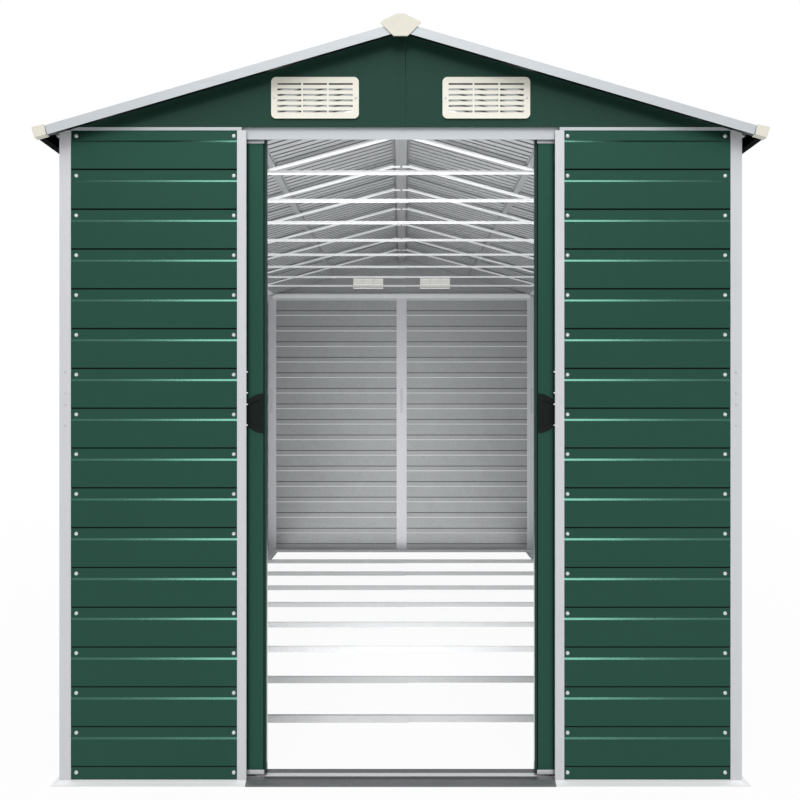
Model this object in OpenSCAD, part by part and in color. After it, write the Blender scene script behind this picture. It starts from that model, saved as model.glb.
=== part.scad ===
// Gabled metal garden shed: folded steel frame, roll-formed cladding, ribbed roof, two sliding doors.
// X runs across the front, Y from the front to the back, Z up from the ground. Sizes in millimetres.

/* [Overall] */
// Width over the corner posts
body_w = 1794; // [1400:1:2400]
// Length over the corner posts
body_l = 3750; // [3450:1:4300]
// Clearance between pieces that are bolted together
fit = 0.2; // [0.1:0.05:0.3]

/* [Base frame] */
// Height of the base rails, on which the walls stand
base_h = 10.5; // [9:0.5:14]
// Sheet thickness of the base rails
base_t = 1.5; // [1:0.1:2]
// How far the sloped skirt stands out at the ground
skirt_out = 17; // [12:0.5:22]
// Upright lip at the bottom of the skirt
skirt_lip = 3; // [2:0.5:5]
// Depth of the shelf under the walls and doors
shelf_d = 50; // [48:1:70]
// Width of the inner foot that lies on the ground
foot_w = 20; // [12:1:30]
// Depth of flat shelf that the door sill covers
sill_d = 20; // [14:0.5:20]
// Height of the lip that keeps the doors from swinging inwards
guide_h = 10; // [9:0.5:12]

/* [Cladding] */
// Height from one board to the next
board_pitch = 104.7; // [96:0.1:108]
// Boards in the height of a wall
board_count = 16; // [15:1:16]
// Height of the groove that holds the screws
groove_h = 30.2; // [24:0.1:36]
// Depth of the groove
groove_d = 2.5; // [2:0.5:4]
// Height of the sloped crease at the top of a board
crease_h = 5; // [4:0.5:8]
// Height of the undercut at the bottom of a board
drop_h = 4; // [3:0.5:6]
// Plain strip under the lowest board
foot_strip = 37; // [30:0.5:44]
// Plain strip above the top board on the two end walls
end_head = 25.7; // [22:0.1:30]
// Plain strip above the top board on the two long walls
side_head = 12.3; // [10:0.1:18]
// Sheet thickness of the wall panels
panel_t = 1.2; // [0.8:0.1:1.5]
// How far the boards lie behind the faces of the posts
panel_set = 1; // [0.5:0.1:2]
// Panels along each long wall
side_bays = 4; // [3:1:6]

/* [Posts] */
// Face width of the corner posts
corner_w = 30; // [26:1:40]
// Face width of the door jambs
jamb_w = 24; // [18:1:30]
// Face width of the posts between panels
post_w = 24; // [18:1:30]
// Sheet thickness of the posts
post_t = 1.5; // [1:0.1:2]
// Flange of a post that lies behind a panel's edge
post_lap = 22; // [16:1:30]
// Height at which the two lengths of a post meet
splice_z = 1010; // [800:1:1200]
// Length of the sleeve inside a post where its lengths meet
splice_l = 170; // [150:1:240]

/* [Doors] */
// Width of an open door that shows beside its jamb
door_show = 50; // [40:1:70]
// Width of a closed door that stays behind its jamb
door_cover = 26.5; // [15:0.5:40]
// Gap between the doors when they are closed
door_meet = 5; // [5:0.5:8]
// Room between an open door and the flange of the corner post
park_room = 59; // [40:1:90]
// Depth of a door
door_d = 20; // [16:0.5:22]
// How far the doors lie behind the outer face of the wall
door_set = 24; // [23:0.5:26]
// Sheet thickness of the door leaves
door_t = 1.2; // [0.8:0.1:1.5]
// Depth of the rebate along a door's closing edge
leaf_step = 3; // [2:0.5:5]
// Width of the rebate
leaf_rebate = 6; // [5:0.5:12]
// Width of the bevel beside the rebate
leaf_bevel = 3; // [2:0.5:5]
// Height of the pale rails at the top and bottom of a door
door_rail_h = 12; // [10:0.5:20]
// Gap between a door and the shelf, which the glides fill
door_gap = 6; // [5:0.5:8]
// How far the doors rise behind the face of the track
door_rise = 5; // [4:0.5:8]
// Radius of the half-round pulls
pull_r = 52.5; // [40:0.5:60]
// Height of the middle of the pulls
pull_z = 974; // [800:1:1100]
// Thickness of a pull
pull_t = 6; // [4:0.5:8]
// Rim of a pull around its finger dish
pull_rim = 9; // [6:0.5:12]

/* [Hangers and glides] */
// Running clearance of the hangers, the glides and the guide lip
run_gap = 0.3; // [0.2:0.05:0.5]
// Width of a hanger
hanger_w = 26; // [20:1:40]
// Thickness of a hanger's strap
strap_d = 8; // [6:0.5:10]
// Height of a hanger's arm over the lip of the track
arm_h = 5; // [4:0.5:6]
// Thickness of a hanger's shoe on the lip
shoe_d = 7; // [5:0.5:8]
// Gap between the hangers and the top of the track
hanger_room = 5; // [5:0.5:7]
// Width of a glide
glide_w = 40; // [30:1:60]
// How far a glide lies in from the faces of its door
glide_inset = 3; // [2:0.5:4]
// Distance of the hangers and glides from the edges of a door
runner_inset = 30; // [20:1:60]

/* [Door track] */
// Height of the track's face below the top of the end walls
track_drop = 21; // [19:0.5:24]
// How far the track's face lies behind the flanges of the posts
track_set = 4; // [1:0.5:6]
// Depth of the track, front to back
track_d = 49.5; // [48.5:0.5:54]
// Width of the lip that carries the hangers
track_lip = 10; // [8:0.5:10]
// Height of the rail that shows above the panels
rail_h = 8.3; // [7:0.1:12]
// How far the track rises behind the foot of the gable
track_rise = 4; // [3:0.5:6]
// Height of the lip above the foot of the track's face
lip_rise = 17; // [14:0.5:18]
// Sheet thickness of the track and of the rails under the roof
rail_t = 1.5; // [1:0.1:1.5]

/* [Roof] */
// Rise of the roof from the long walls to the ridge
roof_rise = 261.5; // [220:0.5:320]
// Height of the roof's underside above the panels of the long walls
eave_gap = 7.7; // [6:0.1:10]
// How far the roof sheets reach out over the long walls
eave_out = 15; // [10:0.5:40]
// How far the fascias stand out beyond the end walls
roof_over = 47; // [40:1:60]
// Sheets on each side of the roof
sheet_count = 5; // [4:1:6]
// Ribs from one sheet to the next
ribs_per_sheet = 17; // [14:1:18]
// Distance from the ridge to the upper ends of the sheets
ridge_gap = 6; // [4:0.5:12]
// Height of a rib
rib_h = 5.5; // [4.5:0.5:7]
// Width of a rib at its top
rib_top = 10; // [8:0.5:11]
// Width of a rib at its foot
rib_foot = 14; // [13:0.5:18]
// Flat strip beside the outer ribs of a sheet
rib_margin = 4; // [3:0.5:6]
// Sheet thickness of the roof
roof_t = 0.8; // [0.6:0.1:1]
// Drop of the fascias below the roof sheets
fascia_drop = 14; // [12:0.5:24]
// Hem folded in at the bottom of the fascias
fascia_hem = 14; // [8:0.5:16]
// Top flange of the fascias
fascia_flange = 20; // [12:0.5:20]
// How far the fascias reach past the lower ends of the sheets
fascia_past = 3; // [2:0.5:6]
// Sheet thickness of the fascias, eave trims and ridge capping
trim_t = 1.2; // [0.8:0.1:1.5]
// How far the eave trims stand out beyond the sheets
trim_out = 34; // [24:1:40]
// Width of the eave trims that lies on the sheets
trim_cover = 20; // [14:0.5:30]
// Lip folded in at the foot of the eave trims
trim_lip = 15; // [10:0.5:20]
// Height of the foot of the eave trims above that of the fascias
trim_lift = 2; // [1:0.5:6]

/* [Ridge capping] */
// Half width of the capping's flat crown
crown_w = 11; // [8:0.5:16]
// Height of the crown above the underside of the roof at the ridge
crown_h = 26; // [25:0.5:34]
// Half width of the capping at its shoulders
shoulder_w = 43; // [39:0.5:46]
// Height of the shoulders below the crown
shoulder_drop = 18; // [15:0.5:20]
// Half width of the capping where its folded sides stand on the roof
root_w = 36; // [30:0.5:37]
// Flanges of the capping, along the slope
capping_flange = 24; // [16:1:40]

/* [Roof frame] */
// Roof trusses along the shed
truss_count = 8; // [6:1:8]
// Distance from the front wall to the first truss and floor bar
front_bay = 459; // [300:1:600]
// Distance from the back wall to the last truss and floor bar
back_bay = 490; // [300:1:600]
// Width of the ties and rafters
bar_w = 27; // [22:0.5:32]
// Height of the ties
bar_h = 8; // [6:0.5:12]
// Height of the rafters
rafter_h = 5; // [4:0.5:8]
// Distance from the ridge beam to the bend of a rafter
rafter_bend = 9; // [6:0.5:14]
// Gap between the tabs of two rafters under the ridge beam
tab_gap = 8; // [4:1:16]
// Height of the ties above the roof's underside at the long walls
tie_up = 5.5; // [4:0.5:10]
// Width of the floor bars
floor_bar_w = 15; // [12:0.5:24]
// Height of the floor bars
floor_bar_h = 22; // [18:0.5:28]
// Sheet thickness of the bars
bar_t = 1.2; // [0.8:0.1:1.5]
// Length over which the two halves of a bar lap
bar_lap = 46; // [30:1:80]
// Width of the ridge beam
beam_w = 42; // [36:1:50]
// Height of the ridge beam
beam_h = 34; // [32:0.5:40]
// Flange on each side of the ridge beam
beam_flange = 12; // [8:1:20]
// Width of the purlins, which fill the height between the rafters and the sheets
purlin_w = 20; // [16:1:30]
// Flange on each side of the purlins
purlin_flange = 6; // [4:0.5:12]
// Sheet of the eave rails that hangs behind the long walls
eave_leg = 52; // [40:1:70]
// Sloped flange of the eave rails under the roof
eave_flange = 35; // [25:1:45]

/* [Gables and vents] */
// Overlap of the two sheets of a gable
gable_lap = 12; // [8:0.5:20]
// Width of the slope where the upper sheet steps over the lower
joggle = 2; // [1.5:0.5:4]
// Width of a vent plate
vent_w = 230; // [180:1:260]
// Height of a vent plate
vent_h = 109; // [90:1:115]
// Thickness of the plate's rim outside the wall
vent_t = 5; // [3:0.5:8]
// Depth of the louvre box through the wall
vent_box_d = 9; // [8:0.5:14]
// Corner radius of a vent plate
vent_r = 13; // [8:0.5:18]
// Thickness of the face that the slots are cut through
vent_face = 2.5; // [1.5:0.5:3]
// Wall of the louvre box
vent_wall = 2; // [1.5:0.5:3]
// Rim around the louvres
vent_rim = 16; // [12:0.5:20]
// Height of the vents above the foot of the gable
vent_up = 21.5; // [16:0.5:26]
// Height left between a vent's outer corner and the roof
vent_clear = 17.5; // [12:0.5:22]
// Columns of louvres
louvre_cols = 3; // [2:1:4]
// Rows of louvres
louvre_rows = 6; // [4:1:7]
// Bar between two columns of louvres
louvre_bar = 4.5; // [3:0.5:8]
// Height of a louvre slot
louvre_gap = 5; // [4:0.1:6]

/* [Plastic caps] */
// Thickness of the ridge end caps
cap_t = 4; // [3:0.5:6]
// Half width of a ridge end cap
cap_w = 52; // [50:0.5:58]
// Half width of the foot of a ridge end cap
cap_foot = 18; // [12:0.5:24]
// Height of a ridge end cap's foot below the crown
cap_drop = 53.5; // [50:0.5:60]
// Border of the end caps around what they close
cap_border = 2; // [1:0.5:3]

/* [Hidden] */
$fn = 48;

green = [0.19, 0.31, 0.27];
pale_grey = [0.80, 0.81, 0.82];
zinc = [0.66, 0.67, 0.68];
cream = [0.92, 0.90, 0.85];
black = [0.12, 0.14, 0.13];

// Cladding: boards stand between a proud face and the bottom of their grooves
board_out = panel_set;
board_in = panel_set + groove_d;
field_h = board_pitch - groove_h - crease_h;
boards_foot = base_h + foot_strip;
boards_top = boards_foot + board_count * board_pitch - groove_h;
end_top = boards_top + end_head;
side_top = boards_top + side_head;
wall_foot = base_h + fit;

// Planes behind the cladding, counted inwards from the outer face of the wall
flange_d = board_in + panel_t + fit;
rail_d = flange_d + post_t + fit;
doorway_w = body_w / 2 - corner_w - post_lap - park_room + door_show - door_cover + door_meet / 2;
front_panel_w = (body_w - doorway_w) / 2 - corner_w - jamb_w;
back_panel_w = (body_w - 2 * corner_w - post_w) / 2;
side_panel_w = (body_l - 2 * corner_w - (side_bays - 1) * post_w) / side_bays;

// Door track and doors
track_face = rail_d + track_set;
track_back = track_face + track_d;
track_foot = end_top - track_drop;
track_top = end_top + fit + rail_h;
lip_top = track_foot + lip_rise;
door_back = door_set + door_d;
door_grip = rail_t + fit;
door_z0 = base_h + door_gap;
door_z1 = track_foot + door_rise;
door_x1 = door_show - doorway_w / 2;
door_x0 = door_x1 - (doorway_w - door_meet) / 2 - door_cover;
guide_d = door_back + door_grip + run_gap;
hanger_top = track_top + track_rise - rail_t - hanger_room;

// Roof: s runs down the slope from the ridge, n stands square to it, 0 at the sheets' underside
eave_z = side_top + eave_gap;
ridge_z = eave_z + roof_rise;
roof_angle = atan2(roof_rise, body_w / 2);
slope_l = (body_w / 2 + eave_out) / cos(roof_angle);
rib_side = atan2(rib_h, (rib_foot - rib_top) / 2);
sheet_lift = roof_t / cos(rib_side) + fit;
cover_n = rib_h + roof_t + sheet_lift + fit;
trim_n = cover_n + trim_t;
hood_n = trim_n + fit;
roof_y = body_l / 2 + roof_over;
sheets_y = roof_y - trim_t - fit;
rib_edge = rib_foot / 2 + rib_margin;
rib_pitch = 2 * (sheets_y - rib_edge) / (sheet_count * ribs_per_sheet);
fascia_end = slope_l + fascia_past;
trim_s = slope_l + trim_out;
crown_z = ridge_z + crown_h;
shoulder_z = crown_z - shoulder_drop;
truss_gap = bar_w + fit;
truss_pitch = (body_l - front_bay - back_bay) / (truss_count - 1);
tie_z = eave_z + tie_up;
gable_d = panel_set;
gable_foot = track_top + fit;
bar_step = bar_t + fit;

// Height of the underside of the roof at a distance x from the middle
function roof_under(x) = ridge_z - abs(x) * tan(roof_angle);
// Point of the roof's cross-section at s along the slope and n above it
function on_section(s, n) =
    [s * cos(roof_angle) + n * sin(roof_angle), ridge_z - s * sin(roof_angle) + n * cos(roof_angle)];
// Place of truss number i along the shed
function truss_y(i) = front_bay - body_l / 2 + i * truss_pitch;

// Folded sheet: a path of straight stretches, thickened to its left, with mitred corners
function unit(v) = v / norm(v);
function left_of(a, b) = let (d = unit(b - a)) [-d[1], d[0]];
function mitre(path, i, t) =
    let (
        last = len(path) - 1,
        before = left_of(path[max(i - 1, 0)], path[max(i, 1)]),
        after = left_of(path[min(i, last - 1)], path[min(i + 1, last)])
    )
    path[i] + t * (before + after) / (1 + before * after);
function folded(path, t) =
    concat(path, [for (i = [len(path) - 1 : -1 : 0]) mitre(path, i, t)]);
module sheet(path, t) polygon(folded(path, t));

// Section drawn in depth and height, run along a wall or down a slope from a to b
module run(a, b) translate([a, 0, 0]) rotate([90, 0, 90]) linear_extrude(b - a) children();
// Section drawn across the shed, run along it from a to b
module along(a, b) translate([0, b, 0]) rotate([90, 0, 0]) linear_extrude(b - a) children();
// Plan drawn on the ground, raised from a to b
module rise(a, b) translate([0, 0, a]) linear_extrude(b - a) children();

// Each wall in its own frame: X along it, Y inwards from its outer face
module on_front() translate([0, -body_l / 2, 0]) children();
module on_back() rotate(180) on_front() children();
module on_left() rotate(-90) translate([0, -body_w / 2, 0]) children();
module on_right() mirror([1, 0, 0]) on_left() children();
// Each slope in its own frame: X down it, Y along the shed, Z square to it
module on_right_slope() translate([0, 0, ridge_z]) rotate([0, roof_angle, 0]) children();
module on_left_slope() mirror([1, 0, 0]) on_right_slope() children();
module both_ends() {
    children();
    mirror([0, 1, 0]) children();
}
module both_sides() {
    children();
    mirror([1, 0, 0]) children();
}
module below_roof() intersection() {
    children();
    along(-body_l, body_l) polygon([
        [-body_w, 0], [body_w, 0], [body_w, roof_under(body_w) - fit],
        [0, ridge_z - fit], [-body_w, roof_under(body_w) - fit]
    ]);
}

// Base frame
skirt_path = [[-skirt_out, 0], [-skirt_out, skirt_lip], [-fit, base_h]];
shelf_path = [[shelf_d, base_h], [shelf_d, base_t], [shelf_d + foot_w, base_t]];
// Plan of a rail whose skirt is mitred from half length a at the wall to b at the ground
module mitred_plan(a, b, depth) rise(0, base_h) polygon([
    [-a, depth], [-a, 0], [-b, -skirt_out], [b, -skirt_out], [a, 0], [a, depth]
]);
module end_base_rail() intersection() {
    foot = body_w / 2 + skirt_out - fit;
    run(-foot, foot) sheet(concat(skirt_path, shelf_path), -base_t);
    mitred_plan(body_w / 2 - base_t, foot, shelf_d + foot_w);
}
module side_base_rail() {
    inner = body_l / 2 - shelf_d - foot_w - fit;
    foot = body_l / 2 + skirt_out;
    intersection() {
        run(-foot, foot) sheet(skirt_path, -base_t);
        mitred_plan(body_l / 2, foot, base_t);
    }
    run(-inner, inner) sheet(concat(skirt_path, shelf_path), -base_t);
}
module base_rail_front() color(pale_grey) on_front() end_base_rail();
module base_rail_back() color(pale_grey) on_back() end_base_rail();
module base_rail_left() color(pale_grey) on_left() side_base_rail();
module base_rail_right() color(pale_grey) on_right() side_base_rail();

// Bar across the shed, a channel open to the top, in two halves that nest in the middle
module channel(a, b, w, h) run(a, b) sheet([[-w / 2, h], [-w / 2, 0], [w / 2, 0], [w / 2, h]], bar_t);
module lapped_bar(reach, w, h) {
    channel(-reach, bar_lap / 2, w, h);
    translate([0, 0, bar_step]) channel(-bar_lap / 2, reach, w - 2 * bar_step, h - bar_step);
}
module floor_bars() color(zinc) for (i = [0 : truss_count - 1]) translate([0, truss_y(i), base_t + fit])
    lapped_bar(body_w / 2 - shelf_d - fit, floor_bar_w, floor_bar_h);
// Sill: the outline of the front rail, moved out so that the sill lies over it
sill_seat = concat(skirt_path, [[sill_d, base_h]]);
module door_sill() color(zinc) on_front() run(-doorway_w / 2 + fit, doorway_w / 2 - fit)
    sheet([for (i = [0 : len(sill_seat) - 1]) mitre(sill_seat, i, base_t + fit)], -base_t);
module door_guide() color(zinc) on_front() translate([0, 0, wall_foot]) {
    reach = body_w / 2 - corner_w - post_lap - fit;
    run(-reach, reach) sheet([[guide_d, guide_h], [guide_d, 0], [shelf_d, 0]], base_t);
}

// Posts: folded hats and angles, with flanges behind the edges of the panels
module corner_section() sheet([
    [corner_w + post_lap, flange_d], [corner_w, flange_d], [corner_w, 0], [0, 0],
    [0, corner_w], [flange_d, corner_w], [flange_d, corner_w + post_lap]
], -post_t);
module post_lengths(top) {
    rise(wall_foot, splice_z - fit / 2) children();
    rise(splice_z + fit / 2, top) children();
}
module corner_post() below_roof() translate([-body_w / 2, -body_l / 2, 0])
    post_lengths(end_top) corner_section();
module hat_post(w, top) post_lengths(top) sheet([
    [-w / 2 - post_lap, flange_d], [-w / 2, flange_d], [-w / 2, 0],
    [w / 2, 0], [w / 2, flange_d], [w / 2 + post_lap, flange_d]
], post_t);
module corner_posts_left() color(pale_grey) both_ends() corner_post();
module corner_posts_right() color(pale_grey) mirror([1, 0, 0]) both_ends() corner_post();
module door_jamb() on_front() post_lengths(end_top) sheet([
    [-doorway_w / 2 - jamb_w - post_lap, flange_d], [-doorway_w / 2 - jamb_w, flange_d],
    [-doorway_w / 2 - jamb_w, 0], [-doorway_w / 2, 0], [-doorway_w / 2, flange_d + post_t]
], post_t);
module door_jamb_left() color(pale_grey) door_jamb();
module door_jamb_right() color(pale_grey) mirror([1, 0, 0]) door_jamb();
module at_side_posts() both_sides() on_left() for (i = [1 : side_bays - 1])
    translate([(i - side_bays / 2) * (side_panel_w + post_w), 0, 0]) children();
module wall_posts() color(pale_grey) {
    at_side_posts() hat_post(post_w, side_top);
    on_back() hat_post(post_w, end_top);
}
// Sleeves inside the posts, bolted through both lengths
sleeve_d = post_t + fit;
module sleeve(w) rise(splice_z - splice_l / 2, splice_z + splice_l / 2) {
    half = w / 2 - sleeve_d;
    sheet([[-half, flange_d], [-half, sleeve_d], [half, sleeve_d], [half, flange_d]], post_t);
}
module corner_sleeve() translate([-body_w / 2, -body_l / 2, 0])
    rise(splice_z - splice_l / 2, splice_z + splice_l / 2) {
        edge = corner_w - sleeve_d;
        sheet([
            [edge, flange_d], [edge, sleeve_d], [sleeve_d, sleeve_d], [sleeve_d, edge], [flange_d, edge]
        ], -post_t);
    }
module post_splices() color(zinc) {
    both_sides() both_ends() corner_sleeve();
    both_sides() on_front() translate([-(doorway_w + jamb_w) / 2, 0, 0]) sleeve(jamb_w);
    at_side_posts() sleeve(post_w);
    on_back() sleeve(post_w);
}

// Cladding: each board is proud, undercut at its bottom, creased back into the next groove at its top
function board_path(i) = let (z = boards_foot + i * board_pitch) [
    [board_in, z - drop_h], [board_out, z], [board_out, z + field_h], [board_in, z + field_h + crease_h]
];
function cladding_path(top) = concat(
    [[board_in, wall_foot]], [for (i = [0 : board_count - 1]) each board_path(i)], [[board_in, top]]
);
module cladding(a, w, top) run(a + fit, a + w - fit) sheet(cladding_path(top), -panel_t);
module front_panel() on_front() cladding(-body_w / 2 + corner_w, front_panel_w, end_top);
module front_panel_left() color(green) front_panel();
module front_panel_right() color(green) mirror([1, 0, 0]) front_panel();
module side_panels() on_left() for (i = [0 : side_bays - 1])
    cladding(-body_l / 2 + corner_w + i * (side_panel_w + post_w), side_panel_w, side_top);
module side_panels_left() color(green) side_panels();
module side_panels_right() color(green) mirror([1, 0, 0]) side_panels();
module back_panels() color(green) both_sides() on_back() cladding(post_w / 2, back_panel_w, end_top);

// Rails on top of the walls
rail_path = [
    [rail_d, track_foot], [rail_d, end_top + fit], [panel_set, end_top + fit], [panel_set, track_top]
];
rail_reach = body_w / 2 - corner_w - fit;
nose_start = (doorway_w + jamb_w) / 2;
module door_track() color(pale_grey) below_roof() on_front() {
    web = track_top + track_rise;
    lip = lip_top - rail_t;
    run(-rail_reach, rail_reach) sheet([
        [track_face, track_foot], [track_face, web], [track_back, web],
        [track_back, lip], [track_back - track_lip, lip]
    ], -rail_t);
    both_sides() run(nose_start, rail_reach) sheet([
        [track_face + rail_t, end_top + fit], [panel_set, end_top + fit],
        [panel_set, track_top], [track_face + rail_t, track_top]
    ], -rail_t);
}
module back_rail() color(zinc) below_roof() on_back() run(-rail_reach, rail_reach)
    sheet(concat(rail_path, [[rail_d + eave_flange, track_top]]), -rail_t);
module eave_rails() color(zinc) both_sides() on_left() {
    reach = body_l / 2 - track_back - fit;
    top = roof_under(body_w / 2 - rail_d) - fit;
    run(-reach, reach) sheet([
        [rail_d, top - eave_leg], [rail_d, top],
        [rail_d + eave_flange, top + eave_flange * tan(roof_angle)]
    ], -rail_t);
}

// Gables: two sheets that lap in the middle, the front one joggled over the other, each cut out for a vent
vent_z = gable_foot + vent_up + vent_h / 2;
vent_x = (ridge_z - vent_z - vent_h / 2 - vent_clear) / tan(roof_angle) - vent_w / 2;
louvre_w = vent_w - 2 * vent_rim;
louvre_h = vent_h - 2 * vent_rim;
vent_box_w = louvre_w + 2 * vent_wall;
vent_box_h = louvre_h + 2 * vent_wall;
gable_reach = (ridge_z - fit - gable_foot) / tan(roof_angle);
gable_back_d = gable_d + panel_t + fit;
module vent_hole() translate([-vent_x, gable_back_d, vent_z])
    cube([vent_box_w + 2 * fit, 4 * panel_t, vent_box_h + 2 * fit], center = true);
module plain_gable() difference() {
    inner = gable_lap - joggle / 2;
    along(gable_back_d, gable_back_d + panel_t) polygon([
        [-gable_reach, gable_foot], [inner, gable_foot], [inner, roof_under(inner) - fit], [0, ridge_z - fit]
    ]);
    vent_hole();
}
module joggled_gable() mirror([1, 0, 0]) difference() {
    intersection() {
        rise(gable_foot, ridge_z) sheet([
            [0, gable_d], [-gable_lap, gable_d],
            [-gable_lap - joggle, gable_back_d], [-gable_reach, gable_back_d]
        ], -panel_t);
        along(0, gable_back_d + 2 * panel_t)
            polygon([[-gable_reach, gable_foot], [0, gable_foot], [0, ridge_z - fit]]);
    }
    vent_hole();
}
module gable_front_left() color(green) on_front() plain_gable();
module gable_front_right() color(green) on_front() joggled_gable();
module gable_back_left() color(green) on_back() joggled_gable();
module gable_back_right() color(green) on_back() plain_gable();

// Vents: a round-cornered plate outside, an open box through the wall, and slots in rows and columns
module rim_plate() for (x = [-1, 1]) {
    translate([-vent_w / 2, -vent_t, -vent_h / 2 + vent_r]) cube([vent_w, vent_t, vent_h - 2 * vent_r]);
    translate([-vent_w / 2 + vent_r, -vent_t, -vent_h / 2]) cube([vent_w - 2 * vent_r, vent_t, vent_h]);
    for (z = [-1, 1]) translate([x * (vent_w / 2 - vent_r), 0, z * (vent_h / 2 - vent_r)])
        rotate([90, 0, 0]) cylinder(r = vent_r, h = vent_t);
}
module vent() difference() {
    slot_w = (louvre_w - (louvre_cols - 1) * louvre_bar) / louvre_cols;
    slot_pitch = (louvre_h - louvre_gap) / (louvre_rows - 1);
    union() {
        rim_plate();
        translate([-vent_box_w / 2, -vent_t / 2, -vent_box_h / 2])
            cube([vent_box_w, vent_t / 2 + vent_box_d, vent_box_h]);
    }
    translate([-louvre_w / 2, vent_face - vent_t, -louvre_h / 2]) cube([louvre_w, 2 * vent_box_d, louvre_h]);
    for (c = [0 : louvre_cols - 1], r = [0 : louvre_rows - 1])
        translate([c * (slot_w + louvre_bar) - louvre_w / 2, -2 * vent_t, r * slot_pitch - louvre_h / 2])
            cube([slot_w, 2 * vent_t, louvre_gap]);
}
module end_vents() for (x = [-1, 1]) translate([x * vent_x, gable_back_d - fit, vent_z]) vent();
module vents() color(cream) {
    on_front() end_vents();
    on_back() end_vents();
}

// Roof frame: each rafter rises from under the eave rail to a tab bolted under the ridge beam,
// flatter than the roof, so that the purlins lie between the rafters and the sheets
rail_under = (rail_t + 2 * fit) / cos(roof_angle);
tie_reach = (ridge_z - rail_under - tie_z - bar_h) / tan(roof_angle);
module truss_ties() color(zinc) for (i = [0 : truss_count - 1])
    translate([0, truss_y(i), tie_z]) lapped_bar(tie_reach, bar_w, bar_h);
bend_x = beam_w / 2 + rafter_bend;
bend_z = ridge_z - beam_h - fit - bar_t;
rafter_x = body_w / 2 - rail_d - rail_t - fit;
rafter_z = roof_under(rafter_x) - rail_under - rafter_h / cos(roof_angle);
rafter_angle = atan2(bend_z - rafter_z, rafter_x - bend_x);
rafter_line = [[bend_x, bend_z], [rafter_x, rafter_z]];
function rafter_over(x) = bend_z - (x - bend_x) * tan(rafter_angle) + rafter_h / cos(rafter_angle);
module rafter() {
    along(-bar_w / 2, bar_w / 2) sheet(concat([[tab_gap / 2, bend_z]], rafter_line), bar_t);
    both_ends() along(-bar_w / 2, bar_t - bar_w / 2) sheet(rafter_line, rafter_h);
}
module rafters() color(zinc) both_sides() for (i = [0 : truss_count - 1])
    translate([0, truss_y(i) - truss_gap, 0]) rafter();
beam_y = body_l / 2 - gable_back_d - panel_t - fit;
module ridge_beam() color(zinc) along(-beam_y, beam_y) {
    seat = fit + bar_t / cos(roof_angle);
    half = beam_w / 2;
    edge = half + beam_flange;
    sheet([
        [-edge, roof_under(edge) - seat], [-half, roof_under(half) - seat], [-half, ridge_z - beam_h],
        [half, ridge_z - beam_h], [half, roof_under(half) - seat], [edge, roof_under(edge) - seat]
    ], bar_t);
}
purlin_s = slope_l / 2;
purlin_x = (purlin_s + purlin_w / 2) * cos(roof_angle);
purlin_h = (roof_under(purlin_x) - rafter_over(purlin_x)) * cos(roof_angle) - fit;
module purlins() color(zinc) both_sides() on_right_slope() along(-beam_y, beam_y) translate([purlin_s, 0]) {
    seat = fit + bar_t;
    half = purlin_w / 2;
    edge = half + purlin_flange;
    sheet([
        [-edge, -seat], [-half, -seat], [-half, -purlin_h],
        [half, -purlin_h], [half, -seat], [edge, -seat]
    ], bar_t);
}

// Roof sheets: ribs run down the slope, and each sheet's last rib nests under or over the next sheet's first
function rib_y(i) = -sheets_y + rib_edge + i * rib_pitch;
function rib_path(i) = [
    [rib_y(i) - rib_foot / 2, 0], [rib_y(i) - rib_top / 2, rib_h],
    [rib_y(i) + rib_top / 2, rib_h], [rib_y(i) + rib_foot / 2, 0]
];
function sheet_path(k) = let (a = k * ribs_per_sheet, b = a + ribs_per_sheet) concat(
    [[rib_y(a) - rib_edge, 0]], [for (i = [a : b]) each rib_path(i)], [[rib_y(b) + rib_edge, 0]]
);
module roof_sheets() for (k = [0 : sheet_count - 1])
    translate([0, 0, k % 2 * sheet_lift]) run(ridge_gap, slope_l) sheet(sheet_path(k), roof_t);
module roof_sheets_left() color(green) on_left_slope() roof_sheets();
module roof_sheets_right() color(green) on_right_slope() roof_sheets();

// Trim: fascias over the ends of the sheets, channels along the eaves, capping over the ridge
fascia_start = (fascia_drop * sin(roof_angle) + fit) / cos(roof_angle);
module fascias() color(pale_grey) both_ends() both_sides() on_right_slope()
    run(fascia_start, fascia_end - fit) sheet([
        [-roof_y + fascia_hem, -fascia_drop], [-roof_y, -fascia_drop],
        [-roof_y, trim_n], [-roof_y + fascia_flange, trim_n]
    ], -trim_t);
trim_low = fascia_drop - trim_lift;
trim_y = roof_y - fascia_flange - fit;
module eave_trims() color(green) both_sides() on_right_slope() along(-trim_y, trim_y) sheet([
    [slope_l - trim_cover, trim_n], [trim_s, trim_n], [trim_s, -trim_low], [trim_s - trim_lip, -trim_low]
], -trim_t);
module eave_end_caps() color(cream) both_ends() both_sides() on_right_slope()
    along(-roof_y - cap_t, -trim_y - fit) polygon([
        [fascia_end, trim_n + cap_border], [trim_s + cap_border, trim_n + 2 * cap_border],
        [trim_s + cap_border, -trim_low - cap_border], [fascia_end + cap_border, -trim_low - cap_border]
    ]);
root_s = (root_w - cover_n * sin(roof_angle)) / cos(roof_angle);
flange_root = on_section(root_s, cover_n);
flange_foot = on_section(root_s + capping_flange, cover_n);
module ridge_capping() color(green) along(-trim_y, trim_y) sheet([
    [-flange_foot[0], flange_foot[1]], [-flange_root[0], flange_root[1]], [-shoulder_w, shoulder_z],
    [-crown_w, crown_z], [crown_w, crown_z], [shoulder_w, shoulder_z], flange_root, flange_foot
], trim_t);
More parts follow.
